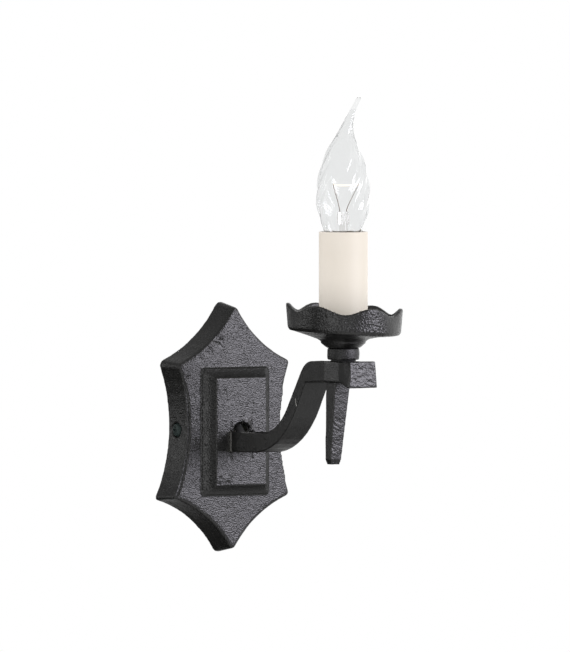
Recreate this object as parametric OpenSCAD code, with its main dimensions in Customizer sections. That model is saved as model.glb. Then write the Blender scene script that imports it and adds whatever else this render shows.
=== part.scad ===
// Torch sconce: a cast and forged iron wall light with one candle lamp.
// +Z is up and the wall is the plane Y = 0, which the light stands out from towards -Y.
// The origin is the middle of the two wall screws, behind the middle of the backplate.

/* [Backplate] */
// Half the height of the plate, to the tip before it is rounded
tip_z = 78.6; // [70:0.2:90]
// Half the width at the shoulders
shoulder_x = 40.6; // [36:0.2:50]
// Height of the shoulders above the middle
shoulder_z = 41.8; // [36:0.2:50]
// Half the width at the waist
waist_x = 33; // [31:0.5:35]
// How far each slanting side bows in
side_bow = 4.9; // [3:0.1:8]
// Depth of the plate from the wall
plate_depth = 20.8; // [18:0.2:26]
// How much wider the plate is at the wall than at its face
plate_draft = 2.4; // [1:0.1:4]
// Wall thickness of the casting
plate_wall = 3; // [2.4:0.1:3.4]
// Height of the raised panel above the face
panel_rise = 8.8; // [7:0.1:9]
// Half width and half height of the panel at its foot
panel_foot = [23.85, 39.85];
// Half width and half height of the panel's flat top
panel_top = [18.15, 34.2];
// Diameter of the cable hole
cable_hole_d = 12; // [9:0.5:12]

/* [Arm] */
// Distance from the wall to the candle's axis
reach = 158.6; // [150:0.2:180]
// Width of the channel
arm_w = 17.2; // [16:0.1:18.5]
// Thickness of the channel's sheet
arm_t = 2.1; // [1.6:0.1:2.4]
// Width of the arm's head where it is pinched
pinch_w = 12.2; // [11.6:0.1:14]
// Length of the head in front of the candle's axis
head_front = 25; // [20:0.5:32]
// Top of the head, where the collar's washer sits
head_top = 49.3; // [49:0.1:50]

/* [Drop spike] */
// Side of the spike at its top
spike_top_w = 11; // [9:0.2:12]
// Height of its lower end
spike_end_z = -16; // [-30:1:0]

/* [Drip pan] */
// Radius of the pan at its rim
rim_r = 36; // [34:0.5:40]
// Mean height of the rim
rim_z = 82; // [78:0.2:86]
// Number of waves round the rim
waves = 6; // [5:1:8]
// Height of each wave, from the middle to a crest
wave_h = 2.4; // [0:0.1:3]
// How far each wave pushes the wall out
wave_out = 0.9; // [0:0.1:1.5]
// Sideways lean of the hand-set pan, in degrees
pan_lean = 3; // [0:0.5:3.5]
// How far the rim's middle lies off the seat's, to the side that leans down
pan_drift = 0.7; // [0:0.1:1]

/* [Candle tube] */
// Outer diameter of the tube
tube_d = 30.9; // [29:0.1:32]
// Wall of the tube
tube_wall = 1.4; // [1.2:0.1:1.6]
// Height of the tube's top
tube_top = 131.2; // [128:0.2:134]

/* [Lamp] */
// Widest diameter of the glass
bulb_d = 34.6; // [33:0.2:35]
// Number of spiral flutes in the glass
flutes = 10; // [6:1:14]
// Depth of the flutes
flute_depth = 0.22; // [0:0.02:0.4]
// How far the flutes turn from neck to tip, in degrees
flute_turn = 230; // [0:10:360]

/* [Hidden] */
eps = 0.01;
$fn = 48;

// Heights of the stack on the candle's axis
washer_t = 1;
collar_z = head_top + washer_t;
pan_z = collar_z + 7.4;
pan_floor_z = pan_z + 7.9;
nut_z = pan_floor_z + 1;
strap_z = nut_z + 3.1;
base_z = strap_z + 8;
body_z = base_z + 8.5;
body_floor_z = body_z + 2.2;
shell_top_z = 110.4;
contact_z = 91.6;
cap_z = 95.5;
cap_top = 112;
nipple_r = 4.92;
nipple_bore = 3.9;
nipple_z = 45.5;
nipple_top = strap_z + 4;
cap_r = 6.9;
shell_r = 6.98;

// Hardware
m3_r = 1.5;
m4_r = 2;
bracket_t = 2;
lug_x = 29.7;
lug_z = 1;
side_screw_depth = 8.5;
spot_face_x = 33.7;
slot_z = 48;
slot_r = 2.6;
slot_length = 16;
block_z = 25;
block_size = [30, 13, 16];
pole_pitch = 10;
tab_z = -6.2;
tab_depth = 11.6;
bolt_depth = 16;
slot = [2.5, 13];
saw_cut = [1.3, 25.3];
saw_cut_z = -5.35;
iron = [0.13, 0.13, 0.14];
zinc = [0.62, 0.63, 0.6];
brass = [0.76, 0.62, 0.34];
steel = [0.55, 0.55, 0.57];

// ---------- shared shapes ----------

// Moves what follows to the candle's axis
module at_candle() {
    translate([0, -reach, 0]) children();
}

// A washer or sleeve standing on height z
module ring(z, height, outer_r, inner_r) {
    translate([0, 0, z]) difference() {
        cylinder(h = height, r = outer_r);
        translate([0, 0, -1]) cylinder(h = height + 2, r = inner_r);
    }
}

// Corner b of the path a, b, c as an arc of radius r
function arc_at(a, b, c, r, steps) =
    let (
        u = (a - b) / norm(a - b),
        v = (c - b) / norm(c - b),
        half = acos(u * v) / 2,
        m = (u + v) / norm(u + v),
        o = b + m * r / sin(half),
        s = b + u * r / tan(half),
        e = b + v * r / tan(half),
        a0 = atan2(s.y - o.y, s.x - o.x),
        turn = atan2(e.y - o.y, e.x - o.x) - a0,
        d = turn > 180 ? turn - 360 : turn < -180 ? turn + 360 : turn
    )
    [for (i = [0:steps]) o + r * [cos(a0 + d * i / steps), sin(a0 + d * i / steps)]];

// Corners given as [x, y, radius], with each radius drawn as an arc
function rounded(corners, steps = 6) =
    let (n = len(corners))
    [for (i = [0:n - 1])
        let (c = corners[i], b = [c.x, c.y],
             p = corners[(i + n - 1) % n], q = corners[(i + 1) % n])
        each (c.z == 0 ? [b] : arc_at([p.x, p.y], b, [q.x, q.y], c.z, steps))];

// An open path of [x, y, radius] moved sideways by d to its left
function moved_aside(path, d) =
    let (
        n = len(path),
        flat = [for (p = path) [p.x, p.y]],
        dirs = [for (i = [0:n - 2]) (flat[i + 1] - flat[i]) / norm(flat[i + 1] - flat[i])]
    )
    [for (i = [0:n - 1])
        let (
            before = dirs[max(i - 1, 0)],
            after = dirs[min(i, n - 2)],
            m = ([-before.y, before.x] + [-after.y, after.x]) / 2,
            p = flat[i] + d * m / (m * m),
            bend = before.x * after.y - before.y * after.x
        )
        [p.x, p.y, path[i].z == 0 ? 0 : path[i].z + (bend > 0 ? -d : d)]];

// A closed skin through rings of points that all have the same count, capped at both ends
module loft(rings) {
    n = len(rings[0]);
    last = len(rings) - 1;
    polyhedron(
        points = [for (r = rings) each r],
        faces = [
            [for (i = [0:n - 1]) i],
            [for (i = [n - 1:-1:0]) last * n + i],
            for (j = [0:last - 1], i = [0:n - 1])
                let (a = j * n + i, b = j * n + (i + 1) % n)
                each [[a, a + n, b + n], [a, b + n, b]]
        ],
        convexity = 6);
}

// A round tube of radius r along a list of points; its ends face along the end stretches
module along(route, r, sides = 8) {
    n = len(route);
    dirs = [for (i = [0:n - 1])
        let (d = route[min(i + 1, n - 1)] - route[max(i - 1, 0)]) d / norm(d)];
    first = abs(dirs[0].x) < 0.9 ? [1, 0, 0] : [0, 1, 0];
    frames = [for (
        i = 0, side = cross(dirs[0], first) / norm(cross(dirs[0], first));
        i < n;
        i = i + 1,
        flat = side - dirs[min(i, n - 1)] * (side * dirs[min(i, n - 1)]),
        side = flat / norm(flat)
    ) side];
    loft([for (i = [0:n - 1])
        [for (k = [0:sides - 1])
            route[i] + r * (cos(360 * k / sides) * frames[i]
                + sin(360 * k / sides) * cross(dirs[i], frames[i]))]]);
}

// A smooth curve through a list of points, with the given steps between each pair
function curve(p, steps) =
    let (n = len(p))
    [for (i = [0:n - 2], s = [0:steps - 1])
        let (
            t = s / steps,
            a = p[max(i - 1, 0)], b = p[i], c = p[i + 1], d = p[min(i + 2, n - 1)]
        )
        0.5 * (2 * b + (c - a) * t + (2 * a - 5 * b + 4 * c - d) * t * t
            + (3 * b - 3 * c + d - a) * t * t * t),
     p[n - 1]];

// A pan-head screw along +Z: its head's underside is at 0 and its shank goes down
module pan_screw(shank_r, length, head_r, head_h) {
    rotate_extrude() polygon([
        [0, -length], [shank_r - 0.4, -length], [shank_r, -length + 0.6], [shank_r, 0],
        [head_r, 0], [head_r, head_h * 0.45], [head_r * 0.86, head_h * 0.85],
        [head_r * 0.55, head_h], [0, head_h]]);
}

// The cross in a screw's head
module cross_recess(size, height) {
    for (a = [0, 90])
        rotate(a) translate([-size / 2, -size / 8, height - 1.1]) cube([size, size / 4, 2]);
}

module cross_screw(shank_r, length, head_r, head_h) {
    difference() {
        pan_screw(shank_r, length, head_r, head_h);
        cross_recess(head_r * 1.05, head_h);
    }
}

// ---------- backplate ----------

// Centre and radius of the arc that bows the side between corners a and b inwards
function bow_arc(a, b, bow) =
    let (half = norm(b - a) / 2, r = (half * half + bow * bow) / (2 * bow),
         out = [b.y - a.y, a.x - b.x] / (2 * half))
    [(a + b) / 2 + out * (r - bow), r];

// Where two circles meet, on the plate's side
function meeting(c1, r1, c2, r2) =
    let (d = norm(c2 - c1), u = (c2 - c1) / d, a = (r1 * r1 - r2 * r2 + d * d) / (2 * d),
         h = sqrt(r1 * r1 - a * a), p = c1 + a * u + h * [-u.y, u.x], q = c1 + a * u - h * [-u.y, u.x])
    norm(p) < norm(q) ? p : q;

// Each corner's place, how far the hand-cut pattern strays there, and its share of the rounding
plate_corners = [
    [shoulder_x, -shoulder_z], [shoulder_x, shoulder_z], [0, tip_z],
    [-shoulder_x, shoulder_z], [-shoulder_x, -shoulder_z], [0, -tip_z]];
corner_strays = [[0, 0.6], [0.3, 2.4], [0.8, 2.8], [-0.8, 1.2], [-3.4, 0], [-1.2, 1.5]];
corner_rounds = [1, 1, 1, 1, 0.4, 1];
// How much further in than drawn each side bows
bow_strays = [0, 0, 0, 0.7, 0.5, 0];
plate_arcs = [for (i = [0:5])
    let (j = (i + 1) % 6)
    bow_arc(plate_corners[i] + corner_strays[i], plate_corners[j] + corner_strays[j],
        (i % 3 == 0 ? shoulder_x - waist_x : side_bow) + bow_strays[i])];

// The plate's outline grown by d at depth t from the wall; rc rounds its corners, each by its share
function plate_ring(d, rc, t, shares = [1, 1, 1, 1, 1, 1]) =
    [for (i = [0:5])
        let (
            a = plate_arcs[i], b = plate_arcs[(i + 1) % 6], z = plate_arcs[(i + 2) % 6],
            r = rc * shares[(i + 1) % 6],
            next_r = rc * shares[(i + 2) % 6],
            f = meeting(a[0], a[1] - d + r, b[0], b[1] - d + r),
            g = meeting(b[0], b[1] - d + next_r, z[0], z[1] - d + next_r),
            a0 = atan2(a[0].y - f.y, a[0].x - f.x),
            turn = atan2(b[0].y - f.y, b[0].x - f.x) - a0,
            sweep = turn < 0 ? turn + 360 : turn,
            b0 = atan2(f.y - b[0].y, f.x - b[0].x),
            back = atan2(g.y - b[0].y, g.x - b[0].x) - b0,
            bow = back > 0 ? back - 360 : back
        )
        each concat(
            [for (k = [0:4]) let (w = a0 + sweep * k / 4)
                [f.x + r * cos(w), -t, f.y + r * sin(w)]],
            [for (k = [1:9]) let (w = b0 + bow * k / 10)
                [b[0].x + (b[1] - d) * cos(w), -t, b[0].y + (b[1] - d) * sin(w)]])];

// A rounded rectangle at depth t from the wall
function panel_ring(half, rc, t) =
    [for (q = [[1, -1], [1, 1], [-1, 1], [-1, -1]])
        let (c = [q.x * (half.x - rc), q.y * (half.y - rc)], a0 = atan2(q.y, q.x) - 45)
        for (k = [0:3]) [c.x + rc * cos(a0 + 30 * k), -t, c.y + rc * sin(a0 + 30 * k)]];

module plate_skin() {
    edge = 2.2;
    side_d = plate_draft * edge / plate_depth;
    loft([
        plate_ring(plate_draft - 0.6, 3.6, 0, corner_rounds),
        plate_ring(plate_draft, 4, 0.6, corner_rounds),
        for (a = [0:30:90])
            plate_ring(side_d - edge * (1 - cos(a)) * 0.9, 2.6 - 1.6 * (1 - cos(a)),
                plate_depth - edge + edge * sin(a), corner_rounds)
    ]);
}

module panel_skin() {
    top = plate_depth + panel_rise;
    loft([
        panel_ring(panel_foot + [0.9, 0.9], 2.2, plate_depth - 1),
        panel_ring(panel_foot + [0.7, 0.7], 2.1, plate_depth + 0.25),
        panel_ring(panel_foot, 1.8, plate_depth + 1.1),
        panel_ring(panel_top + [0.6, 0.6], 1, top - 0.5),
        panel_ring(panel_top, 0.8, top)
    ]);
}

module plate_hollow() {
    inner = plate_depth - plate_wall;
    loft([
        plate_ring(plate_draft - plate_wall, 1.6, -1),
        plate_ring(-plate_wall + 0.4, 1, inner - 1.5),
        plate_ring(-plate_wall - 1, 0.6, inner - 0.4),
        plate_ring(-plate_wall - 9, 0.6, inner)
    ]);
    loft([
        panel_ring(panel_foot - [3.6, 3.6], 1.5, inner - 0.5),
        panel_ring(panel_foot - [3.6, 3.6], 1.5, inner + 1),
        panel_ring(panel_top - [1.2, 1.2], 1, plate_depth + panel_rise - plate_wall)
    ]);
}

module backplate() {
    color(iron) difference() {
        union() {
            plate_skin();
            panel_skin();
        }
        plate_hollow();
        rotate([90, 0, 0]) cylinder(h = 60, d = cable_hole_d);
        for (s = [-1, 1]) {
            // a tab's slot, and the narrower saw cut that runs past both its ends
            translate([s * (arm_w - arm_t) / 2 - slot.x / 2, -40, tab_z - slot.y / 2])
                cube([slot.x, 30, slot.y]);
            translate([s * (arm_w - arm_t) / 2 - saw_cut.x / 2, -40, saw_cut_z - saw_cut.y / 2])
                cube([saw_cut.x, 30, saw_cut.y]);
            translate([s * 25, -side_screw_depth, lug_z]) rotate([0, s * 90, 0])
                cylinder(h = 30, r = m4_r + 0.2);
            translate([s * spot_face_x, -side_screw_depth, lug_z]) rotate([0, s * 90, 0])
                cylinder(h = 20, r = 4.7);
        }
    }
}

// ---------- behind the plate ----------

module wall_bracket() {
    lug_h = 20;
    lug_d = 14;
    color(zinc) difference() {
        union() {
            translate([-12, -bracket_t, -58]) cube([24, bracket_t, 116]);
            translate([0, 0, lug_z - lug_h / 2]) linear_extrude(lug_h) polygon(rounded([
                [-lug_x, 0, 3], [lug_x, 0, 3], [lug_x, -lug_d, 0], [lug_x - bracket_t, -lug_d, 0],
                [lug_x - bracket_t, -bracket_t, 1], [bracket_t - lug_x, -bracket_t, 1],
                [bracket_t - lug_x, -lug_d, 0], [-lug_x, -lug_d, 0]]));
        }
        for (s = [-1, 1]) {
            run = slot_length / 2 - slot_r;
            for (e = [-run, run])
                translate([0, 5, s * slot_z + e]) rotate([90, 0, 0]) cylinder(h = 10, r = slot_r);
            translate([-slot_r, -5, s * slot_z - run]) cube([2 * slot_r, 10, 2 * run]);
            translate([s * 20, -side_screw_depth, lug_z]) rotate([0, s * 90, 0])
                cylinder(h = 20, r = m4_r + 0.05);
        }
        rotate([90, 0, 0]) cylinder(h = 10, r = 8, center = true);
        translate([0, 5, block_z]) rotate([90, 0, 0]) cylinder(h = 10, r = m3_r + 0.05);
        translate([0, 5, -24]) rotate([90, 0, 0]) cylinder(h = 10, r = m4_r + 0.05);
    }
}

// Earthing screw with its clamping washer
module earth_screw() {
    color(brass) translate([0, -bracket_t, -24]) rotate([90, 0, 0]) {
        ring(0, 1, 4.6, m4_r - eps);
        translate([0, 0, 1]) cross_screw(m4_r, 2.9, 3.8, 2.6);
    }
}

module side_screws() {
    color([0.3, 0.32, 0.27]) for (s = [-1, 1])
        translate([s * spot_face_x, -side_screw_depth, lug_z]) rotate([0, s * 90, 0])
            cross_screw(m4_r, 12, 4.3, 3.2);
}

// ---------- arm ----------

// The channel's outer side from the plate to the head, as [forward of the candle, height, radius]
arm_back = plate_depth + panel_rise - reach;
arm_under = [
    [arm_back, -12.6, 0], [-64.8, -11.5, 68], [-32.5, 35.2, 3], [-12, 36.1, 20], [0, 36.1, 0]];
// Its open edges over the same length
arm_edge = [
    [-14, head_top, 0], [-33.7, 48.3, 17], [-68.9, 0.9, 43], [arm_back, 0, 0]];

// A shape drawn as [forward of the candle, height], given width w across the arm
module across(w) {
    at_candle() rotate([90, 0, -90]) linear_extrude(w, center = true) children();
}

// One end of the head's two tapers, at f forward: how far it reaches to the left, to the right
// below and above, and its heights
module head_section(f, left, right_low, right_high, low, high) {
    at_candle() translate([0, -f, 0]) rotate([90, 0, 0]) linear_extrude(0.02, center = true)
        polygon([[-left, low], [right_low, low], [right_high, high], [-left, high]]);
}

module arm() {
    inside = moved_aside(arm_under, arm_t + 0.1);
    half = arm_w / 2;
    pinch = pinch_w / 2;
    color(iron) difference() {
        union() {
            across(arm_w) polygon(concat(
                rounded(concat(arm_under, [[0, head_top, 0]], arm_edge), 9)));
            hull() {
                head_section(-9, half, half, half, 36.1, head_top);
                head_section(5, pinch, pinch, pinch, 36.05, head_top);
            }
            hull() {
                head_section(5, pinch, pinch, pinch, 36.05, head_top);
                head_section(head_front - 1, 10, 10.4, 9, 33.2, 49.8);
                head_section(head_front, 9.6, 10, 8.6, 33.5, 49.5);
            }
            for (s = [-1, 1])
                translate([s * (arm_w - arm_t) / 2 - arm_t / 2, -plate_depth - panel_rise - 1, tab_z - 6])
                    cube([arm_t, plate_depth + panel_rise + 1 - tab_depth, 12]);
        }
        // the pinch is cut in the channel's own sides too
        for (s = [-1, 1]) at_candle() linear_extrude(120)
            polygon([[s * half, 9], [s * 20, 9], [s * 20, -5], [s * pinch, -5]]);
        intersection() {
            across(arm_w - 2 * arm_t) polygon(concat(rounded(inside, 9), [[0, 70], [arm_back, 70]]));
            translate([-20, -reach + 11, -30]) cube([40, 200, 130]);
        }
        // the way for the cores, from the channel to below the nipple
        at_candle() translate([-4, -4, 38.4]) cube([8, 16, 7]);
        at_candle() translate([0, 0, 38.4]) cylinder(h = 30, r = nipple_r + 0.06);
        at_candle() translate([0, 5.8, 20]) cylinder(h = 30, r = m4_r + 0.1);
        for (s = [-1, 1])
            translate([0, -bolt_depth, tab_z]) rotate([0, s * 90, 0]) cylinder(h = 20, r = m4_r + 0.1);
    }
}

// Two angles behind the panel that the arm's tabs are bolted to
module arm_lugs() {
    back = plate_depth + panel_rise - plate_wall;
    x0 = arm_w / 2 + 0.05;
    color(steel) for (s = [-1, 1]) difference() {
        translate([0, 0, tab_z - 6]) linear_extrude(12)
            polygon([for (p = rounded([
                [x0, -tab_depth, 0], [x0 + 2, -tab_depth, 0], [x0 + 2, 2 - back, 1],
                [16, 2 - back, 0], [16, 0.1 - back, 0], [x0, 0.1 - back, 1]], 4)) [s * p.x, p.y]]);
        translate([0, -bolt_depth, tab_z]) rotate([0, s * 90, 0]) cylinder(h = 20, r = m4_r + 0.1);
    }
}

// Cross bolt through both tabs and angles
module arm_bolt() {
    outer = arm_w / 2 + 2.05;
    color(zinc) translate([-outer, -bolt_depth, tab_z]) rotate([0, -90, 0]) difference() {
        union() {
            translate([0, 0, -2 * outer - 5]) cylinder(h = 2 * outer + 5, r = m4_r);
            cylinder(h = 2.8, r = 4.04, $fn = 6);
        }
        translate([0, 0, 2.5]) cylinder(h = 1, r = 2.4);
    }
}

module arm_nut() {
    color(zinc) translate([arm_w / 2 + 2.05, -bolt_depth, tab_z]) rotate([0, 90, 0]) difference() {
        cylinder(h = 3.2, r = 4.04, $fn = 6);
        translate([0, 0, -1]) cylinder(h = 6, r = m4_r + 0.02);
    }
}

// ---------- drop spike ----------

// A square spike, forged straight on its back and left and tapered on its other two sides
module drop_spike() {
    top = 36;
    w = spike_top_w;
    color(iron) at_candle() difference() {
        hull() {
            translate([-w / 2, 0.9, top - 1]) cube([w, w, 1]);
            translate([-w / 2 - 0.7, 5, spike_end_z + 3]) cube([7.5, 6.8, 1]);
            translate([-w / 2 + 0.2, 5.8, spike_end_z]) cube([5.7, 5.2, 1]);
        }
        translate([0, 5.8, top - 14]) cylinder(h = 20, r = m4_r - 0.3);
    }
}

// Countersunk screw from inside the head into the spike
module spike_screw() {
    floor_z = 38.4;
    color(zinc) at_candle() translate([0, 5.8, 0]) difference() {
        union() {
            translate([0, 0, 26]) cylinder(h = floor_z - 25.9, r = m4_r - 0.35);
            translate([0, 0, floor_z + 0.05]) cylinder(h = 1.4, r1 = 3.5, r2 = 2.4);
        }
        translate([-2.5, -0.5, floor_z + 0.8]) cube([5, 1, 2]);
    }
}

// ---------- collar and pan ----------

module seat_washer() {
    color([0.08, 0.08, 0.08]) at_candle() ring(head_top + 0.25, washer_t - 0.25, 8, nipple_r + 0.3);
}

module collar() {
    top = pan_z - collar_z;
    color(iron) at_candle() translate([0, 0, collar_z]) rotate_extrude()
        polygon(concat(
            [[nipple_r + 0.3, 0]],
            [for (a = [-90:15:90]) [9 + 1.2 * pow(cos(a), 0.35), top / 2 + top / 2 * sin(a)]],
            [[nipple_r + 0.3, top]]));
}

// Outside of the pan from its foot to its rim, as [radius, height above the foot]
pan_outside = [
    [8.6, 0], [10.5, 0.4], [12.6, 2], [14, 3.2], [14.2, 4.5], [16.6, 6], [23, 7.7],
    [31, 9.2], [34.6, 10], [35.6, 11.6], [35.8, 17], [rim_r, rim_z - pan_z - 0.5],
    [rim_r - 0.4, rim_z - pan_z]];
// Inside of the pan from its rim to its floor
pan_inside = [
    [rim_r - 2.3, rim_z - pan_z], [rim_r - 2.7, rim_z - pan_z - 0.6], [33, 15.5],
    [32.4, 13.4], [30.4, 12.2], [23, 10.6], [17.2, 8.3], [16.2, 7.9]];

// One point of the pan: waves and lean grow from nothing at the seat to all of it at the wall
function pan_point(p, angle) =
    let (
        crest = cos(waves * (angle + 90)),
        up = max(0, p.y - 10) / (rim_z - pan_z - 10),
        out = min(1, max(0, (p.x - 16.5) / 14)),
        r = p.x + wave_out * crest * up,
        x = r * cos(angle) + pan_drift * out * cos(30),
        y = r * sin(angle) - pan_drift * out * sin(30),
        lean = tan(pan_lean) * (cos(30) * x - sin(30) * y)
    )
    [x, y, pan_z + p.y + wave_h * crest * up * up - lean * out];

module drip_pan() {
    sides = 60;
    color(iron) at_candle() difference() {
        loft([for (p = concat(pan_outside, pan_inside))
            [for (k = [0:sides - 1]) pan_point(p, 360 * k / sides)]]);
        cylinder(h = 200, r = nipple_r + 0.3);
    }
}

module lock_washer() {
    color(steel) at_candle() ring(pan_floor_z + 0.02, 0.96, 8.4, nipple_r + 0.1);
}

module pan_nut() {
    color(brass) at_candle() translate([0, 0, nut_z]) difference() {
        cylinder(h = 3, r = 8.08, $fn = 6);
        translate([0, 0, -1]) cylinder(h = 6, r = nipple_r + 0.02);
    }
}

module threaded_nipple() {
    color(zinc) at_candle() ring(nipple_z, nipple_top - nipple_z, nipple_r, nipple_bore);
}

// ---------- lampholder ----------

module holder_strap() {
    leg_x = 12;
    leg_t = 1.4;
    leg_h = 16;
    color(zinc) at_candle() difference() {
        union() {
            translate([0, 4, strap_z]) rotate([90, 0, 0]) linear_extrude(8) polygon(rounded([
                [-leg_x, 0, 3], [leg_x, 0, 3], [leg_x, leg_h, 0], [leg_x - leg_t, leg_h, 0],
                [leg_x - leg_t, leg_t, 1.6], [leg_t - leg_x, leg_t, 1.6],
                [leg_t - leg_x, leg_h, 0], [-leg_x, leg_h, 0]]));
            translate([0, 0, strap_z]) cylinder(h = leg_t, r = 8);
        }
        translate([0, 0, strap_z - 1]) cylinder(h = 4, r = nipple_r + 0.02);
        for (s = [-1, 1])
            translate([0, 0, base_z + 4.5]) rotate([0, s * 90, 0]) cylinder(h = 20, r = m3_r + 0.05);
    }
}

module holder_base() {
    color([0.9, 0.88, 0.84]) at_candle() difference() {
        translate([0, 0, base_z]) cylinder(h = 8.45, r = 10.5);
        translate([0, 0, base_z - 1]) cylinder(h = 4, r = 5.4);
        for (s = [-1, 1]) {
            translate([0, 0, base_z + 4.5]) rotate([0, s * 90, 0]) cylinder(h = 20, r = m3_r + 0.02);
            translate([0, s * 6.5, base_z - 1]) cylinder(h = 5.5, r = 1.8);
        }
    }
}

module holder_screws() {
    color(zinc) at_candle() for (s = [-1, 1])
        translate([s * 12.02, 0, base_z + 4.5]) rotate([0, s * 90, 0]) cross_screw(m3_r, 6.5, 2.8, 1.5);
}

module holder_body() {
    top = 26;
    step = shell_top_z - 0.6 - body_z;
    floor_h = body_floor_z - body_z;
    color([0.9, 0.88, 0.84]) at_candle() translate([0, 0, body_z]) rotate_extrude() polygon([
        [3.2, 0], [12.4, 0], [12.4, top - 5], [11.8, top - 1.4], [10.6, top], [8.3, top],
        [8.3, step], [7.55, step], [7.55, floor_h], [3.2, floor_h]]);
}

// Threaded sleeve, hung by its flange in the holder's mouth
module screw_shell() {
    color(brass) at_candle() rotate_extrude() polygon([
        [shell_r, 93], [7.5, 93], [7.5, shell_top_z - 0.55], [8.2, shell_top_z - 0.55],
        [8.2, shell_top_z], [shell_r, shell_top_z]]);
}

// Spring leaf under the lamp's centre contact: a flat foot, a rising leaf and its folded tip
module centre_contact() {
    rise = contact_z - body_floor_z - 0.4;
    color([0.8, 0.58, 0.3]) at_candle() translate([0, 2, body_floor_z + 0.05]) rotate([90, 0, 0])
        linear_extrude(4) polygon([
            [-5, 0], [5, 0], [5, 0.5], [3.2, 0.5], [1, rise], [-2, rise], [-2.6, rise - 1],
            [-2.1, rise - 1.2], [-1.7, rise - 0.5], [0.6, rise - 0.5], [2.5, 0.5], [-5, 0.5]]);
}

module candle_tube() {
    color([0.92, 0.88, 0.8]) at_candle() translate([0, 0, pan_floor_z + 0.4]) rotate_extrude() polygon([
        [tube_d / 2 - tube_wall, 0], [tube_d / 2 - 0.2, 0], [tube_d / 2, 0.3],
        [tube_d / 2, tube_top - pan_floor_z - 0.8], [tube_d / 2 - 0.3, tube_top - pan_floor_z - 0.4],
        [tube_d / 2 - tube_wall, tube_top - pan_floor_z - 0.4]]);
}

// ---------- lamp ----------

// Flame shape of the glass, as [height above the cap's top, radius, how far its axis leans aside]
flame = [
    [-1.6, 6.2, 0], [2.5, 6.8, 0], [8, 8.4, 0], [20, 12.4, 0], [28, 15.3, 0], [35, bulb_d / 2 - 0.4, 0],
    [40.5, bulb_d / 2, 0], [47.5, bulb_d / 2 - 0.25, 0], [56.5, 15.7, 0.05], [63.5, 13.4, 0.1],
    [71.5, 10.2, 0.15], [78.5, 6.7, 0.8], [82, 5.1, 1.45], [87.5, 3.5, 3], [95.5, 2.1, 5.9],
    [101.3, 1.75, 8.9], [102.8, 1.8, 9.4], [104.1, 1, 9.8]];

function flame_ring(p, wall) =
    let (
        part = min(1, max(0, (p.x - 8) / 15)) * min(1, max(0, (92 - p.x) / 30)),
        turn = flute_turn * p.x / 104
    )
    [for (k = [0:39])
        let (a = 9 * k, r = p.y - wall + (flute_depth * cos(flutes * (a - turn)) - flute_depth) * part)
        [p.z * cos(30) + r * cos(a), -p.z * sin(30) + r * sin(a), cap_top + p.x]];

module bulb_glass() {
    wall = 0.7;
    color([0.9, 0.92, 0.92, 0.3]) at_candle() difference() {
        loft([for (p = flame) flame_ring(p, 0)]);
        loft([
            flame_ring([flame[0].x - 1, flame[0].y, 0], wall),
            for (i = [0:14]) flame_ring(flame[i], wall)]);
    }
}

// Flared glass foot with the pressed stem that holds the wires
module bulb_stem() {
    color([0.85, 0.88, 0.88, 0.5]) at_candle() {
        difference() {
            rotate_extrude() polygon([
                [0, cap_top - 1.2], [5.3, cap_top - 1.2], [5.2, cap_top - 0.6], [3.4, cap_top + 1.6],
                [2.7, cap_top + 6], [2.7, cap_top + 24], [0, cap_top + 24]]);
        }
        translate([-3.4, -1.4, cap_top + 24]) cube([6.8, 2.8, 7.5]);
    }
}

module bulb_cap() {
    color([0.78, 0.76, 0.7]) at_candle() translate([0, 0, cap_z]) rotate_extrude() polygon([
        [3.6, 0], [5.4, 0], [cap_r, 1.6], [cap_r, cap_top - cap_z], [6.55, cap_top - cap_z],
        [6.55, 1.8], [5.2, 0.5], [3.6, 0.5]]);
}

module bulb_insulator() {
    color([0.06, 0.06, 0.07]) at_candle() translate([0, 0, cap_z]) rotate_extrude() polygon([
        [1.2, -2.4], [2.6, -2.4], [4.8, -0.02], [3.55, -0.02], [3.55, 0.9], [1.2, 0.9]]);
}

module bulb_contact() {
    color([0.7, 0.7, 0.68]) at_candle() translate([0, 0, contact_z]) rotate_extrude() polygon([
        [0, 0], [1.2, 0.1], [2.2, 0.6], [2.5, 1.4], [1.15, 1.48], [1.15, 4], [0, 4]]);
}

// Direction across the photographed side of the lamp
lamp_right = [cos(30), -sin(30), 0];
wire_foot = cap_top + 31.55;
hook_z = cap_top + 48;
hook_r = 9.2;

module support_wires() {
    color(steel) at_candle() for (s = [-1, 1])
        along(curve([
            s * 2 * lamp_right + [0, 0, wire_foot],
            s * 2.6 * lamp_right + [0, 0, wire_foot + 3],
            s * 5.8 * lamp_right + [0, 0, wire_foot + 10],
            s * hook_r * lamp_right + [0, 0, hook_z]], 3), 0.25, 6);
}

// Coiled wire, drawn as a soft zigzag between the two hooks
module filament() {
    color([1, 0.8, 0.4]) at_candle() along([for (k = [0:24])
        let (t = k / 12 - 1)
        (hook_r - 0.6) * t * lamp_right
            + [0, 0, hook_z - 0.3 - 1.2 * (1 - t * t) * (k % 2 == 0 ? 1 : 0.6)]
            + [0.5, 0.87, 0] * 1.5 * (1 - t * t)], 0.18, 6);
}

// ---------- wiring ----------

// Sheathed lead from behind the plate, through the cable hole and along the channel
flex_r = 2.6;
flex_route = [
    [0, -15.5, 11.5], [0, -18, 11.2], [0, -21, 8.4], [0, -24.5, 3], [0, -32, -3.2], [0, -42, -7.2],
    [0, -52, -7.2], [0, -62, -6.9], [0, -74, -4.8], [0, -84, -1.1], [0, -93.7, 4.8], [0, -102.4, 12.4],
    [0, -109.4, 20.5], [0, -116.2, 30.6], [0, -122.8, 39.1], [0, -130, 43], [0, -137, 43.6]];

module flex() {
    color([0.1, 0.1, 0.11]) along(curve(flex_route, 2), flex_r, 10);
}

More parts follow.
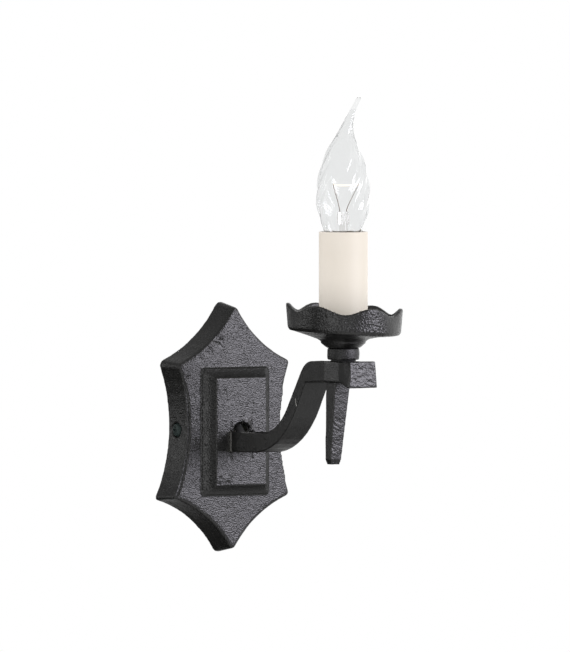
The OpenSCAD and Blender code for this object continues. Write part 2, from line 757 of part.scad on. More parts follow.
// Insulated cores from the end of the lead up the nipple to the lampholder
module lamp_cores() {
    for (s = [-1, 1])
        color(s > 0 ? [0.36, 0.22, 0.12] : [0.1, 0.25, 0.6]) at_candle()
            along(curve([
                [s * 1.1, 21.5, 43.3], [s * 1.3, 16, 43], [s * 1.6, 9, 41.9], [s * 1.6, 3.5, 41.6],
                [s * 1.5, 0.6, 45], [s * 1.4, s * 0.4, 52], [s * 1.4, s * 1, 66],
                [s * 1.2, s * 1.8, nipple_top + 0.4], [s * 0.8, s * 4.8, base_z - 1.2],
                [0, s * 6.5, base_z + 3.6]], 2), 0.95, 6);
}

module supply_cores() {
    hues = [[0.1, 0.25, 0.6], [0.5, 0.62, 0.15], [0.36, 0.22, 0.12]];
    for (i = [0:2]) {
        x = (i - 1) * pole_pitch;
        near = 1.25 * [sin(120 * (i - 1)), cos(120 * (i - 1))];
        color(hues[i]) along(curve([
            [near.x, -15.3, 11.4 + near.y], [near.x * 1.6, -13, 11.6 + near.y], [x * 0.6, -10, 11.8],
            [x, -8.5, 13.2], [x, -8.5, block_z - block_size.z / 2 + 2]], 3), 0.85, 6);
    }
}

module terminal_block() {
    s = block_size;
    color([0.93, 0.93, 0.9]) difference() {
        translate([-s.x / 2, -bracket_t - s.y, block_z - s.z / 2]) cube(s);
        for (i = [-1:1]) {
            translate([i * pole_pitch, -8.5, block_z - 9]) cylinder(h = 18, r = 1.9);
            for (s2 = [-1, 1])
                translate([i * pole_pitch, -9, block_z + s2 * 4.4]) rotate([90, 0, 0])
                    cylinder(h = 20, r = 1.9);
        }
        for (i = [-0.5, 0.5])
            translate([i * pole_pitch - 0.6, -bracket_t - s.y - 1, block_z - 9]) cube([1.2, 5, 18]);
        translate([0, 0, block_z]) rotate([90, 0, 0]) cylinder(h = 30, r = m3_r + 0.1);
        translate([0, -10.4, block_z]) rotate([90, 0, 0]) cylinder(h = 20, r = 2.4);
    }
}

module terminal_screws() {
    color(steel) for (i = [-1:1], s = [-1, 1])
        translate([i * pole_pitch, -10.6, block_z + s * 4.4]) rotate([90, 0, 0]) difference() {
            cylinder(h = 2.8, r = 1.8);
            translate([-2, -0.25, 2]) cube([4, 0.5, 2]);
        }
}

module block_screw() {
    color(zinc) translate([0, -10.4, block_z]) rotate([90, 0, 0]) cross_screw(m3_r, 9.9, 2.3, 1.6);
}

wall_bracket();
earth_screw();
side_screws();
backplate();
arm();
arm_lugs();
arm_bolt();
arm_nut();
drop_spike();
spike_screw();
seat_washer();
collar();
drip_pan();
lock_washer();
pan_nut();
threaded_nipple();
holder_strap();
holder_base();
holder_screws();
holder_body();
screw_shell();
centre_contact();
candle_tube();
bulb_glass();
bulb_stem();
bulb_cap();
bulb_insulator();
bulb_contact();
support_wires();
filament();
flex();
lamp_cores();
supply_cores();
terminal_block();
terminal_screws();
block_screw();
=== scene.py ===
import math

import bmesh
import bpy
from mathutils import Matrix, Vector, noise


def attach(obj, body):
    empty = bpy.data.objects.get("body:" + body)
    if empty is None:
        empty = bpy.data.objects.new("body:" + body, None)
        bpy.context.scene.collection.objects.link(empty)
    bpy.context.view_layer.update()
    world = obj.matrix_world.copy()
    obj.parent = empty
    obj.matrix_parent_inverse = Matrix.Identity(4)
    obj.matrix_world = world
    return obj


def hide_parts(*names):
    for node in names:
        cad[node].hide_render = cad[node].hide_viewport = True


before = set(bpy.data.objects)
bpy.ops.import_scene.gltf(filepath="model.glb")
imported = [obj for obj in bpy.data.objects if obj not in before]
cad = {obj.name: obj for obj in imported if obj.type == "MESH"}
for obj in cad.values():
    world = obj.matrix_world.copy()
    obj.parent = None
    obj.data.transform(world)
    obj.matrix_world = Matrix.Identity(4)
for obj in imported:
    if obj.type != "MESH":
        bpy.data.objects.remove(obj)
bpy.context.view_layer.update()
scene = bpy.context.scene
MM = 0.001

# ---------- View ----------
# A long lens, nearly level, 30 degrees to the light's left.

azimuth = math.radians(-30)
elevation = math.radians(2.17)
aim = Vector((-31.9, -140.2, 71.6)) * MM
lens_distance = 12


def toward(turn, rise):
    """Direction from the light to something at that azimuth and height angle, in radians"""
    return Vector((
        math.sin(turn) * math.cos(rise), -math.cos(turn) * math.cos(rise), math.sin(rise)))


def stand(thing, place, target):
    """Puts a camera or lamp at a place, looking at a target."""
    thing.location = place
    thing.rotation_euler = (place - target).to_track_quat("Z", "Y").to_euler()
    scene.collection.objects.link(thing)


camera = bpy.data.objects.new("camera", bpy.data.cameras.new("camera"))
camera.data.lens = 1200
camera.data.sensor_fit = "HORIZONTAL"
camera.data.sensor_width = 36
camera.data.clip_end = 100
stand(camera, aim + toward(azimuth, elevation) * lens_distance, aim)
scene.camera = camera
scene.view_settings.view_transform = "Standard"

# ---------- Softboxes ----------
# A large one to the right of the view gives the iron its grey sheen, and only shows in
# reflections. A weak one above it adds a soft shadow, and a narrow strip on the left streaks the
# lamp's glass.

lamps_aim = Vector((0, -80, 50)) * MM


def softbox(name, turn, rise, distance, size, watts, colour, diffuse):
    """A lamp at an azimuth and height angle in degrees; its distance and size are in metres"""
    lamp = bpy.data.objects.new(name, bpy.data.lights.new(name, "AREA"))
    lamp.data.shape = "RECTANGLE"
    lamp.data.size, lamp.data.size_y = size
    lamp.data.energy = watts
    lamp.data.color = colour
    lamp.visible_camera = False
    lamp.visible_diffuse = diffuse
    stand(lamp, lamps_aim + toward(math.radians(turn), math.radians(rise)) * distance, lamps_aim)


softbox("sheen_box", 30, 9, 2, (1.3, 1.0), 44, (0.99, 0.965, 1.07), False)
softbox("key_box", 45, 30, 2.4, (1.4, 1.4), 9, (1, 1, 1), True)
softbox("strip_box", -100, 10, 2, (0.14, 1.2), 3, (1, 1, 1), False)

# ---------- Room ----------
# White behind the light. On diffuse surfaces it shines evenly from above, and a third as much from
# below. In reflections it is nearly black with some paler sides.

# each pale side: its azimuth and height angle, the cosines at which it begins and is full, and
# how pale it is
pale_sides = [
    (0, 90, 0.05, 0.9, 0.45), (-47, 0, 0.93, 0.98, 3.3), (105, 0, 0.6, 0.95, 1.4),
    (-125, 5, 0.972, 0.995, 3.2), (0, -60, 0.6, 1, 1.1), (150, -2, 0.82, 0.98, 1),
    (-158, 0, 0.96, 0.99, 0.25), (-179, 0, 0.96, 0.99, 0.3)]
room_reflected = 0.02
room_below, room_rise = 0.36, 0.66


class Socket:
    """One socket of a node tree. Arithmetic on it adds the Math nodes that do it."""

    def __init__(self, tree, socket):
        self.tree = tree
        self.socket = socket

    def math(self, operation, *values):
        return self.tree.node("Math", {"operation": operation}, dict(enumerate(values)))

    def __add__(self, other):
        return self.math("ADD", self, other)

    def __sub__(self, other):
        return self.math("SUBTRACT", self, other)

    def __rsub__(self, other):
        return self.math("SUBTRACT", other, self)

    def __mul__(self, other):
        return self.math("MULTIPLY", self, other)

    __radd__ = __add__
    __rmul__ = __mul__

    def ramp(self, low, high):
        """0 below low, 1 above high, straight between; low may be the larger."""
        return self.tree.node(
            "MapRange", {"clamp": True}, {0: self, 1: low, 2: high, 3: 0.0, 4: 1.0})


class Tree:
    """A node tree. node() adds any node: its type, its settings, then its sockets."""

    def __init__(self, owner):
        owner.use_nodes = True
        self.nodes = owner.node_tree.nodes
        self.links = owner.node_tree.links
        self.nodes.clear()

    def node(self, kind, settings=None, sockets=None, out=0):
        made = self.nodes.new("ShaderNode" + kind)
        for name, value in (settings or {}).items():
            setattr(made, name, value)
        for name, value in (sockets or {}).items():
            if isinstance(value, Socket):
                self.links.new(value.socket, made.inputs[name])
            else:
                made.inputs[name].default_value = value
        return Socket(self, made.outputs[out]) if made.outputs else made

    def mix(self, low, high, share):
        """The colour between low and high"""
        return self.node("Mix", {"data_type": "RGBA"}, {0: share, 6: low, 7: high}, out=2)


room = bpy.data.worlds.new("room")
scene.world = room
air = Tree(room)
seen_by = {name: air.node("LightPath", out="Is " + name + " Ray")
           for name in ("Camera", "Transmission", "Glossy", "Diffuse")}


def pale_side(turn, rise, low, high):
    """0 away from one direction of the room, 1 toward it; low and high are cosines"""
    facing = toward(math.radians(turn), math.radians(rise))
    return air.node("VectorMath", {"operation": "DOT_PRODUCT"}, {
        0: air.node("TexCoord", out="Generated"), 1: facing}, out="Value").ramp(low, high)


reflected = room_reflected
for *side, paleness in pale_sides:
    reflected = reflected + paleness * pale_side(*side)
around = room_below + room_rise * pale_side(0, 90, -0.7, 0.1)
white = seen_by["Camera"] + seen_by["Transmission"]
strength = white + (1 - white) * (seen_by["Glossy"] * reflected + seen_by["Diffuse"] * around)
air.node("OutputWorld", {}, {"Surface": air.node(
    "Background", {}, {"Color": (1, 1, 1, 1), "Strength": strength})})

# ---------- Floor ----------
# A pale matt disc well below the light, outside the view. It takes the light's shadow.

floor_r = 1.2
floor_z = -0.35


class Finish(Tree):
    """A piece's material. made() ends it with a Principled shader."""

    def __init__(self, name):
        self.material = bpy.data.materials.new(name)
        super().__init__(self.material)
        self.place = self.node("TexCoord", out="Object")

    def grain(self, size, detail=3.0, place=None):
        """Even noise from 0 to 1 whose lumps are `size` millimetres across"""
        return self.node("TexNoise", {}, {
            "Vector": place or self.place, "Scale": 1 / (size * MM), "Detail": detail,
            "Roughness": 0.55})

    def cells(self, size):
        """Distance from the nearest of points strewn about `size` millimetres apart"""
        return self.node("TexVoronoi", {}, {"Vector": self.place, "Scale": 1 / (size * MM)})

    def relief(self, height, depth):
        """A normal from a height of 0 to 1 that stands for `depth` millimetres"""
        return self.node(
            "Bump", {}, {"Height": height, "Distance": depth * MM, "Strength": 1.0})

    def made(self, **sockets):
        named = {name.replace("_", " "): value for name, value in sockets.items()}
        shader = self.node("BsdfPrincipled", {}, named)
        self.node("OutputMaterial", {}, {"Surface": shader})
        return self.material


floor_finish = Finish("pale_floor")
floor_tone = floor_finish.mix(
    (0.86, 0.86, 0.85, 1), (0.9, 0.9, 0.89, 1), floor_finish.grain(40))
floor_finish.made(Base_Color=floor_tone, Roughness=0.8)
floor_mesh = bpy.data.meshes.new("floor")
shape = bmesh.new()
bmesh.ops.create_circle(shape, cap_ends=True, segments=96, radius=floor_r)
bmesh.ops.translate(shape, verts=shape.verts, vec=(0, 0, floor_z))
shape.to_mesh(floor_mesh)
shape.free()
floor_mesh.materials.append(floor_finish.material)
floor = bpy.data.objects.new("floor", floor_mesh)
floor.visible_glossy = False
scene.collection.objects.link(floor)

# ---------- Backplate ----------
# A hollow sand casting in black-painted iron: six points, drafted sides and a raised panel. The
# sand leaves a fine grain with open pits, and its arrises are soft and a little uneven. It hangs
# over the wall bracket and is held by a screw in each side.

paint_dark, paint_pale = (0.004, 0.004, 0.0034, 1), (0.0095, 0.0093, 0.009, 1)
# the first of these colours is painted shade for the pits' hollows; the others are dust and bare
# iron
pit_shade_black, dust_grey, bare_grey = (
    (0.003, 0.003, 0.003, 1), (0.075, 0.072, 0.076, 1), (0.42, 0.41, 0.39, 1))


def black_iron(name, grain, roughness):
    """Satin black paint over rough iron. `grain` is how much of the sand shows through."""
    paint = Finish(name)
    broad = paint.grain(11)
    sand = paint.grain(0.8, 0.0)
    pits = paint.cells(1.7).ramp(0.3, 0.08) * paint.grain(5).ramp(0.44, 0.6)
    dust = paint.grain(0.9, 2.0).ramp(0.55, 0.8) * paint.grain(16).ramp(0.4, 0.62)
    worn = paint.node("Attribute", {"attribute_name": "worn"}, out="Fac")
    worn = (worn * (0.6 + 0.8 * paint.grain(1.6))).ramp(0.3, 0.5)
    tone = paint.mix(paint_dark, paint_pale, broad)
    tone = paint.mix(tone, dust_grey, dust * (0.5 * grain))
    # painted shade: the pits are darkened in colour as well as sunk by the bump
    tone = paint.mix(tone, pit_shade_black, pits * 0.8)
    tone = paint.mix(tone, bare_grey, worn)
    height = sand + paint.grain(3.4, 1.0) * 0.5 - pits * 0.9
    normal = paint.relief(height, 0.27 * grain)
    return paint.made(
        Base_Color=tone, Metallic=worn * 0.8,
        Roughness=roughness + 0.1 * sand + 0.1 * pits - 0.12 * worn, Normal=normal)


def cast(node, material, voxel, softening, relief, strokes=()):
    """A casting's skin: even quads over its CAD solid, softened, then moved out by
    relief(place, normal), though never into the wall. A stroke is a line, and its reach, where
    the paint has worn away. Everything is in millimetres."""
    piece = bpy.data.objects.new(node + "_skin", cad[node].data.copy())
    scene.collection.objects.link(piece)
    welded = bmesh.new()
    welded.from_mesh(piece.data)
    bmesh.ops.remove_doubles(welded, verts=welded.verts, dist=1e-6)
    welded.to_mesh(piece.data)
    welded.free()
    even = piece.modifiers.new("even", "REMESH")
    even.mode = "VOXEL"
    even.voxel_size = voxel * MM
    soften = piece.modifiers.new("soften", "SMOOTH")
    soften.factor = 0.5
    soften.iterations = softening
    whole = piece.evaluated_get(bpy.context.evaluated_depsgraph_get())
    mesh = bpy.data.meshes.new_from_object(whole)
    piece.modifiers.clear()
    piece.data = mesh
    places = [vertex.co / MM for vertex in mesh.vertices]
    normals = [vertex.normal.copy() for vertex in mesh.vertices]
    for vertex, place, normal in zip(mesh.vertices, places, normals):
        vertex.co = (place + normal * relief(place, normal)) * MM
        vertex.co.y = min(0, vertex.co.y)
    worn = mesh.attributes.new("worn", "FLOAT", "POINT")
    for start, end, width in strokes:
        start, way = Vector(start), Vector(end) - Vector(start)
        for index, place in enumerate(places):
            along = min(1, max(0, (place - start).dot(way) / way.length_squared))
            near = 1 - (place - start - way * along).length / width
            if near > worn.data[index].value:
                worn.data[index].value = near
    mesh.materials.clear()
    mesh.materials.append(material)
    mesh.polygons.foreach_set("use_smooth", [True] * len(mesh.polygons))
    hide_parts(node)
    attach(piece, "fixture")


def lumps(place, size, octaves=3):
    """Noise from about -1 to 1 whose lumps are `size` millimetres across"""
    return noise.fractal(place / size, 1, 2, octaves)


def between(value, low, high):
    """0 at low, 1 at high, with soft ends"""
    part = min(1, max(0, (value - low) / (high - low)))
    return part * part * (3 - 2 * part)


plate_front = -19
panel_foot = (23.85, 39.85)
panel_front = -28
fillet_width, fillet_height = 1.6, 0.25
bevel_width, bevel_hollow = 5.7, 0.75
hole_rim, rim_width = 7, 2

# the plate's left edge: the (x, z) of its upper and lower corners and how far it bows in; the
# seam runs beside it
left_top, left_foot, left_bow = (-41.4, 43), (-44.2, -41.8), 7.6
seam_aside, seam_width, seam_depth = 1.6, 1.2, 1.3

# where the sand broke away from the mould: each place, how far round it and how deep
plate_scars = [
    ((-12, -20.4, 57.5), 5, 1.3), ((-18.5, -20.2, 51), 3.5, 1), ((-25, -20.3, 47.5), 3, 0.6),
    ((-16.5, -29, -32), 4.5, 1.2), ((-10, -29.4, -33.5), 3.5, 0.9),
    ((-34.5, -20.4, 34.5), 2.6, 0.6), ((4.6, -29.6, 4.2), 2.4, 0.6), ((6.2, -29.6, 1.8), 1.8, 0.5)]


def plate_relief(place, normal):
    out = 0.1 * lumps(place, 16, 2) + 0.07 * lumps(place, 3.6) + 0.045 * lumps(place, 1.7, 2)
    for scar, width, depth in plate_scars:
        near = 1 - (place - Vector(scar)).length / width
        if near > 0:
            out -= depth * near * (0.55 + 0.8 * lumps(place, 1.9, 2))
    # the panel's hollow bevel and the soft fillet at its foot
    foot = max(abs(place.x) - panel_foot[0], abs(place.z) - panel_foot[1])
    if place.y < plate_front and abs(foot) < fillet_width:
        out += fillet_height * (1 - abs(foot) / fillet_width) ** 2
    if place.y < plate_front - 1.5 and -bevel_width < foot < 0:
        out -= bevel_hollow * math.sin(math.pi * foot / -bevel_width)
    # the seam inside the left arris, where the mould's halves met
    down = (left_top[1] - place.z) / (left_top[1] - left_foot[1])
    edge = left_top[0] + (left_foot[0] - left_top[0]) * down + left_bow * (1 - (2 * down - 1) ** 2)
    seam = abs(place.x - edge - seam_aside - 0.2 * lumps(place, 9, 1)) / seam_width
    if normal.y < -0.3 and place.y < plate_front and seam < 1:
        out -= seam_depth * (1 - seam) * between(place.z, 40, 12) * between(place.z, -44, -40)
    # the cable hole's torn right rim
    rim = abs(math.hypot(place.x, place.z) - hole_rim) / rim_width
    if place.y < panel_front and rim < 1 and place.x > 1 and place.z > 0:
        out += (0.9 + 1.2 * lumps(place, 1.6, 2)) * (1 - rim)
    return out


plate_iron = black_iron("plate_iron", 1, 0.31)
cast("backplate", plate_iron, 0.6, 2, plate_relief, [
    ((-36, -12, -24), (-36.5, -12, -27), 0.9), ((-37.4, -13, -31), (-37.7, -13, -32), 0.8),
    ((-39.2, -8, -40), (-39.4, -8, -40.6), 0.7)])

# ---------- Arm ----------
# A channel pressed from 2 mm iron sheet, open above, that swings down and up again to a solid
# head, forged square and pinched beneath the candle. Two tabs pass through slits in the panel and
# are bolted behind it. The paint has rubbed off where the channel's cut edges meet the plate.

head_start, head_middle, head_end = -145, -160, -180.5
head_z, head_half_height = 39, 7
head_lean = 1.1


def arm_relief(place, normal):
    out = 0.09 * lumps(place, 13, 2) + 0.03 * lumps(place, 3)
    end = between(-normal.y, 0.75, 0.95) * between(place.y, head_end + 2, head_end)
    hammered = end + 0.25 * between(place.y, head_start, head_middle)
    out += 0.1 + hammered * (0.13 * lumps(place, 2) + 0.12 * lumps(place, 0.9, 2))
    # the head's left side leans
    aside = between(-normal.x, 0.6, 0.9) * between(place.y, head_end + 9, head_end + 2)
    return out - head_lean * aside * max(-1, min(1, (place.z - head_z) / head_half_height))


arm_iron = black_iron("arm_iron", 0.5, 0.3)
cast("arm", arm_iron, 0.5, 1, arm_relief, [
    ((-8.6, -30.3, 0.8), (-8.6, -30.3, -12.6), 2.5), ((-7.9, -44, 0.3), (-7.9, -60, 0.5), 1.1),
    ((-8.6, -113, 24), (-8.6, -114.4, 19.6), 0.7)])

# ---------- Drop spike ----------
# A square spike forged under the head, screwed up into it. Its upper half was struck flat, and
# the lower half keeps the slanting marks of the hammer.

facet_end = 13.8
mark_slope, mark_depth = 0.8, 0.3


def spike_relief(place, normal):
    front = between(-normal.y, 0.6, 0.9)
    lower = between(place.z + 0.3 * place.x, facet_end + 1.2, facet_end - 1.2)
    slant = Vector((
        0.4 * (place.x - mark_slope * place.z), place.y, place.z + mark_slope * place.x))
    marks = front * lower * abs(lumps(slant, 1.3, 1))
    return 0.12 + 0.06 * lumps(place, 4) + 0.04 * lumps(place, 1.3, 2) - mark_depth * marks


cast("drop_spike", arm_iron, 0.4, 1, spike_relief, [((-1.2, -163, 33.8), (-1, -163, 33.7), 0.7)])

# ---------- Collar ----------
# A turned and bulged iron ring between the head and the pan.


def collar_relief(place, normal):
    return 0.09 * lumps(place, 2.4) + 0.05 * lumps(place, 6, 2)


collar_iron = black_iron("collar_iron", 1, 0.44)
cast("collar", collar_iron, 0.4, 1, collar_relief)

# ---------- Drip pan ----------
# Cast in one piece: a stepped cone with an upright wall whose rim rises and falls in six waves.
# The wall was left rough from the mould in two places in front and rubbed smooth elsewhere.

candle_reach = 158.6
pan_step, pan_wall = 31, 34

# each rough place: its azimuth, and the angles from it where the roughness ends and is full
rough_places = [(-40, 26, 12), (2, 22, 12)]


def pan_relief(place, normal):
    turn = math.degrees(math.atan2(place.x, -(place.y + candle_reach)))
    rough = sum(between(abs(turn - middle), ends, full) for middle, ends, full in rough_places)
    rough *= between(math.hypot(place.x, place.y + candle_reach), pan_step, pan_wall)
    return 0.12 + 0.07 * lumps(place, 5) + (0.1 + 0.45 * rough) * (abs(lumps(place, 1.5)) - 0.35)


pan_iron = black_iron("pan_iron", 0.7, 0.31)
cast("drip_pan", pan_iron, 0.5, 1, pan_relief)

# ---------- Candle tube ----------
# A drawn tube of cream plastic that slips over the lampholder and stands in the pan. Such plastic
# is satin and even. Its lower third is painted a little paler: painted light that makes up for the
# shade of the pan.

# heights in metres where the painted light on the tube's foot begins and where it is full
painted_light_top, painted_light_full = 0.118, 0.088
cream = Finish("candle_cream")
cream_and_painted_light_tone = cream.mix((0.86, 0.785, 0.69, 1), (0.89, 0.82, 0.735, 1), cream.grain(22, 2.0))
height = cream.node("SeparateXYZ", {}, {0: cream.place}, out="Z")
# painted light: the tube's colour is made paler towards its foot, against the pan's shade
cream_and_painted_light_tone = cream.mix(cream_and_painted_light_tone, (0.985, 0.91, 0.81, 1), height.ramp(painted_light_top, painted_light_full))
cream_normal = cream.relief(cream.grain(1.1, 3.0) * 0.7 + cream.grain(9) * 0.3, 0.03)
cream.made(
    Base_Color=cream_and_painted_light_tone, Roughness=0.5 + 0.1 * cream.grain(4), Normal=cream_normal,
    Specular_IOR_Level=0.3)


def coat(material, names):
    """Gives CAD pieces a material."""
    for name in names.split():
        cad[name].data.materials.clear()
        cad[name].data.materials.append(material)


coat(cream.material, "candle_tube")

# ---------- Lamp glass ----------
# A blown glass flame with a bent tip, pressed with shallow flutes that wind from its neck to its
# tip. Its wall is real, so both faces catch the light. It is cemented into the lamp's cap.

cap_top = 112
glass_wall = 0.5
glass_sides = 160
flutes = 10
flute_turn = 230
flute_depth = 0.45
flutes_from, flutes_to = 8, 92
flame_height = 104
hollow_to = 97
axis = Vector((0, -candle_reach, 0))
lamp_right = Vector((math.cos(math.pi / 6), -math.sin(math.pi / 6), 0))

# height above the cap's top, radius, and how far the middle leans aside
flame = [
    (-1.6, 6.2, 0), (2.5, 6.8, 0), (8, 8.4, 0), (20, 12.4, 0), (28, 15.3, 0), (35, 16.9, 0),
    (40.5, 17.3, 0), (47.5, 17.05, 0), (56.5, 15.7, 0.05), (63.5, 13.4, 0.1), (71.5, 10.2, 0.15),
    (78.5, 6.7, 0.8), (82, 5.1, 1.45), (87.5, 3.5, 3), (95.5, 2.1, 5.9), (101.3, 1.75, 8.9),
    (102.8, 1.8, 9.4), (104.1, 1, 9.8)]


def curved(points, steps):
    """A smooth curve through points of any size, with `steps` between each two"""
    line = []
    for i in range(len(points) - 1):
        a, b = Vector(points[max(i - 1, 0)]), Vector(points[i])
        c, d = Vector(points[i + 1]), Vector(points[min(i + 2, len(points) - 1)])
        for t in (step / steps for step in range(steps)):
            line.append(0.5 * (
                2 * b + (c - a) * t + (2 * a - 5 * b + 4 * c - d) * t * t
                + (3 * b - 3 * c + d - a) * t ** 3))
    line.append(Vector(points[-1]))
    return line


def lofted(name, rings, material):
    """A mesh piece through rings of points in millimetres, all of one count, with flat ends"""
    count = len(rings[0])
    faces = [
        (j * count + i, j * count + (i + 1) % count,
         (j + 1) * count + (i + 1) % count, (j + 1) * count + i)
        for j in range(len(rings) - 1) for i in range(count)]
    last = (len(rings) - 1) * count
    faces.append(tuple(range(count - 1, -1, -1)))
    faces.append(tuple(range(last, last + count)))
    mesh = bpy.data.meshes.new(name)
    mesh.from_pydata([Vector(p) * MM for ring in rings for p in ring], [], faces)
    shape = bmesh.new()
    shape.from_mesh(mesh)
    bmesh.ops.recalc_face_normals(shape, faces=shape.faces)
    shape.to_mesh(mesh)
    shape.free()
    mesh.polygons.foreach_set("use_smooth", [True] * len(mesh.polygons))
    mesh.materials.append(material)
    piece = bpy.data.objects.new(name, mesh)
    scene.collection.objects.link(piece)
    return piece


def flame_ring(level, radius, lean, inward):
    """The glass at one level of the flame, or as far inward from it"""
    part = min(1, max(0, (level - flutes_from) / 15)) * min(1, max(0, (flutes_to - level) / 30))
    ring = []
    for k in range(glass_sides):
        turn = math.tau * k / glass_sides
        wave = math.cos(flutes * (turn - math.radians(flute_turn) * level / flame_height))
        r = radius - inward + flute_depth * part * (abs(wave) ** 1.5 * (1 if wave > 0 else -1) - 1)
        ring.append(axis + lean * lamp_right + Vector((
            r * math.cos(turn), r * math.sin(turn), cap_top + level)))
    return ring


glass = Finish("clear_glass")
glass_ripple = glass.relief(glass.grain(6, 2.0), 0.02)
glass.made(
    Base_Color=(0.9, 0.905, 0.905, 1), Roughness=0.0, IOR=1.34, Transmission_Weight=1.0,
    Specular_Tint=(0.5, 0.5, 0.5, 1), Normal=glass_ripple)
outside = curved(flame, 8)
inside = [p for p in outside if p[0] < hollow_to]
glass_rings = [flame_ring(*p, 0) for p in reversed(outside)]
glass_rings += [flame_ring(*p, min(glass_wall, p[1] * 0.4)) for p in inside]
bulb = lofted("bulb_glass_skin", glass_rings, glass.material)
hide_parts("bulb_glass")
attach(bulb, "lamp")

# ---------- Filament and its wires ----------
# A tungsten wire wound into a fine coil and hung in a shallow zigzag between two nickel wires,
# which stand in the pressed end of the glass stem. It is lit.

lamp_front = Vector((-math.sin(math.pi / 6), -math.cos(math.pi / 6), 0))
wire_foot = cap_top + 31.55
hook_z = cap_top + 49.3
hook_reach = 8.1
hook_aside = 1.4
support_r = 0.22
zigzags = 12
coil_turns = 100
coil_r, coil_wire_r = 0.36, 0.13


def swept(name, route, radius, sides, material):
    """A round wire or sheath along a route, in millimetres"""
    rings = []
    side = None
    for i, point in enumerate(route):
        way = (route[min(i + 1, len(route) - 1)] - route[max(i - 1, 0)]).normalized()
        if side is None:
            side = way.orthogonal()
        side = (side - way * side.dot(way)).normalized()
        up = way.cross(side)
        turns = [math.tau * k / sides for k in range(sides)]
        rings.append([
            point + radius * (math.cos(turn) * side + math.sin(turn) * up) for turn in turns])
    return lofted(name, rings, material)


def joined(name, pieces):
    """Several meshes as one piece, each with its own material"""
    shape = bmesh.new()
    mesh = bpy.data.meshes.new(name)
    for number, piece in enumerate(pieces):
        piece.data.polygons.foreach_set("material_index", [number] * len(piece.data.polygons))
        shape.from_mesh(piece.data)
        mesh.materials.append(piece.data.materials[0])
        bpy.data.objects.remove(piece)
    shape.to_mesh(mesh)
    shape.free()
    whole = bpy.data.objects.new(name, mesh)
    scene.collection.objects.link(whole)
    return whole


nickel = Finish("nickel_wire")
nickel_tone = nickel.mix((0.12, 0.07, 0.05, 1), (0.24, 0.17, 0.13, 1), nickel.grain(1.5))
nickel.made(
    Base_Color=nickel_tone, Metallic=0.6, Roughness=0.35 + 0.2 * nickel.grain(0.6),
    Normal=nickel.relief(nickel.grain(0.3), 0.02))
wires = joined("support_wires_drawn", [
    swept("support_wire", [axis + p for p in curved([
        s * 2 * lamp_right + Vector((0, 0, wire_foot)),
        s * 2.6 * lamp_right + Vector((0, 0, wire_foot + 3)),
        (s * 5.1 + 0.5 * hook_aside) * lamp_right + Vector((0, 0, wire_foot + 10)),
        (s * hook_reach + hook_aside) * lamp_right + Vector((0, 0, hook_z))], 8)],
        support_r, 10, nickel.material)
    for s in (-1, 1)])
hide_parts("support_wires")
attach(wires, "lamp")

glow = Finish("tungsten")
glow_tone = glow.mix((1, 0.86, 0.66, 1), (1, 0.94, 0.8, 1), glow.grain(0.8))
glow.made(
    Base_Color=(0.3, 0.28, 0.26, 1), Roughness=0.4, Emission_Color=glow_tone,
    Emission_Strength=1.15)
sag = []
for k in range(2 * zigzags + 1):
    t = k / zigzags - 1
    dip = 1 - t * t
    sag.append(axis + lamp_right * (hook_aside + (hook_reach - 0.5) * t) + Vector((
        0.75 * dip, 1.3 * dip, hook_z - 0.3 - 0.9 * dip * (1 if k % 2 == 0 else 0.5))))
middle = curved(sag, 30)
coil = []
for i, point in enumerate(middle):
    turn = math.tau * coil_turns * i / len(middle)
    coil.append(point + coil_r * (
        math.cos(turn) * Vector((0, 0, 1)) + math.sin(turn) * lamp_front))
filament = swept("filament_coil", coil, coil_wire_r, 6, glow.material)
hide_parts("filament")
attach(filament, "lamp")

# ---------- Lead ----------
# A round black sheathed lead. It comes out of the cable hole, drops into the channel and lies
# along it as far as the head.

flex_r = 2.6
flex_route = [
    (0, -15.5, 11.5), (0, -18, 11.2), (0, -21, 8.4), (0, -24.5, 3), (0, -32, -3.2), (0, -42, -7.2),
    (0, -52, -7.2), (0, -62, -6.9), (0, -74, -4.8), (0, -84, -1.1), (0, -93.7, 4.8),
    (0, -102.4, 12.4), (0, -109.4, 20.5), (0, -116.2, 30.6), (0, -122.8, 39.1), (0, -130, 43),
    (0, -137, 43.6)]
sheath = Finish("flex_black")
sheath_tone = sheath.mix((0.012, 0.012, 0.013, 1), (0.03, 0.03, 0.031, 1), sheath.grain(3))
sheath.made(
    Base_Color=sheath_tone, Roughness=0.5 + 0.15 * sheath.grain(1.5),
    Normal=sheath.relief(sheath.grain(0.7), 0.05))
lead = swept("flex_sheath", curved(flex_route, 6), flex_r, 28, sheath.material)
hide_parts("flex")
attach(lead, "fixture")

# ---------- Metal fittings ----------
# The black side screws, and the hidden steel with a zinc coat, the brass, the lampholder's bronze
# and the lamp's cap and solder. They are drawn, turned or stamped, then plated.


def plated(name, dark, light, metallic, roughness, spangle):
    """Metal whose coat shows soft patches `spangle` millimetres across and fine drawn lines"""
    metal = Finish(name)
    stretched = metal.node("VectorMath", {"operation": "MULTIPLY"}, {
        0: metal.place, 1: (1, 1, 0.12)})
    lines = metal.grain(0.35, 2.0, place=stretched)
    patches = metal.grain(spangle)
    stain = metal.grain(spangle * 3).ramp(0.55, 0.75)
    tone = metal.mix((*dark, 1), (*light, 1), patches)
    tone = metal.mix(tone, tuple(0.55 * part for part in dark) + (1,), stain * 0.5)
    return metal.made(
        Base_Color=tone, Metallic=metallic, Roughness=roughness + 0.15 * patches + 0.1 * stain,
        Normal=metal.relief(lines, 0.015))


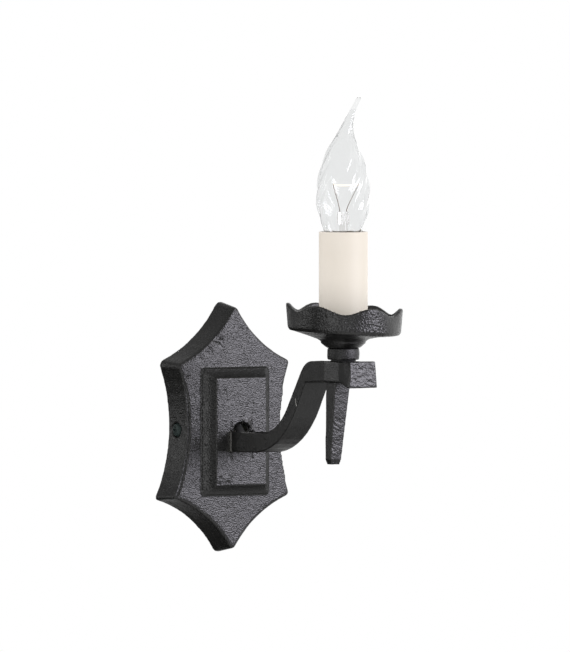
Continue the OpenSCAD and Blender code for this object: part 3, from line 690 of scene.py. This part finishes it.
zinc = plated("zinc_plate", (0.42, 0.43, 0.4), (0.6, 0.6, 0.56), 0.6, 0.3, 2.5)
black_zinc = plated("black_zinc", (0.006, 0.012, 0.011), (0.03, 0.05, 0.047), 0.3, 0.45, 1.5)
brass = plated("brass", (0.55, 0.38, 0.14), (0.72, 0.52, 0.22), 0.65, 0.25, 3)
bronze = plated("bronze", (0.5, 0.28, 0.12), (0.65, 0.38, 0.18), 0.65, 0.25, 2)
cap_metal = plated("cap_metal", (0.5, 0.49, 0.46), (0.66, 0.65, 0.61), 0.65, 0.28, 4)
solder = plated("solder", (0.35, 0.35, 0.36), (0.55, 0.55, 0.56), 0.6, 0.35, 0.8)
coat(zinc, "wall_bracket arm_lugs arm_bolt arm_nut spike_screw lock_washer threaded_nipple "
           "holder_strap holder_screws terminal_screws block_screw")
coat(black_zinc, "side_screws")
coat(brass, "earth_screw pan_nut screw_shell")
coat(bronze, "centre_contact")
coat(cap_metal, "bulb_cap")
coat(solder, "bulb_contact")

# ---------- Mouldings and glass parts ----------
# The gasket, the lampholder's heat-proof resin, the terminal block, the lamp's black glass button
# and its clear stem. They are moulded or pressed, and carry the faint orange peel of the tool.


def moulded(name, dark, light, roughness, **more):
    resin = Finish(name)
    tone = resin.mix((*dark, 1), (*light, 1), resin.grain(5))
    return resin.made(
        Base_Color=tone, Roughness=roughness + 0.12 * resin.grain(2),
        Normal=resin.relief(resin.grain(0.8), 0.025), **more)


gasket = moulded("seat_gasket", (0.008, 0.008, 0.008), (0.02, 0.02, 0.02), 0.7)
holder = moulded("holder_resin", (0.72, 0.69, 0.62), (0.8, 0.77, 0.7), 0.4)
block = moulded("block_resin", (0.78, 0.78, 0.74), (0.86, 0.86, 0.82), 0.35)
button = moulded("black_glass", (0.006, 0.006, 0.008), (0.015, 0.015, 0.018), 0.12)
stem = moulded("stem_glass", (0.82, 0.81, 0.8), (0.92, 0.91, 0.9), 0.0, Transmission_Weight=1.0,
               Specular_Tint=(0.2, 0.2, 0.2, 1))
coat(gasket, "seat_washer")
coat(holder, "holder_base holder_body")
coat(block, "terminal_block")
coat(button, "bulb_insulator")
coat(stem, "bulb_stem")

# ---------- Cores ----------
# The lead's insulated wires. Three leave its near end for the terminal block, and two its far end
# for the lampholder, up through the hollow nipple. The insulation is glossy and evenly coloured.

brown = moulded("core_brown", (0.1, 0.035, 0.015), (0.14, 0.055, 0.025), 0.4)
blue = moulded("core_blue", (0.01, 0.045, 0.3), (0.02, 0.065, 0.38), 0.4)
green = moulded("core_green", (0.2, 0.36, 0.02), (0.32, 0.5, 0.03), 0.4)
supply_core_r, lamp_core_r = 0.85, 0.95
core_aside = 1.25
supply = []
for x, turn, insulation in ((-10, -120, blue), (0, 0, green), (10, 120, brown)):
    out, up = (core_aside * part(math.radians(turn)) for part in (math.sin, math.cos))
    supply.append(swept("supply_core", curved([
        (out, -15.3, 11.4 + up), (1.6 * out, -13, 11.6 + up), (0.6 * x, -10, 11.8),
        (x, -8.5, 13.2), (x, -8.5, 19)], 6), supply_core_r, 14, insulation))
lamp_ends = [
    swept("lamp_core", [axis + p for p in curved([
        (s * 1.1, 21.5, 43.3), (s * 1.3, 16, 43), (s * 1.6, 9, 41.9), (s * 1.6, 3.5, 41.6),
        (s * 1.5, 0.6, 45), (s * 1.4, s * 0.4, 52), (s * 1.4, s, 66), (s * 1.2, s * 1.8, 74.1),
        (s * 0.8, s * 4.8, 76.5), (0, s * 6.5, 81.3)], 5)], lamp_core_r, 14, insulation)
    for s, insulation in ((1, brown), (-1, blue))]
for node, pieces in (("supply_cores", supply), ("lamp_cores", lamp_ends)):
    cores = joined(node + "_drawn", pieces)
    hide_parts(node)
    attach(cores, "fixture")
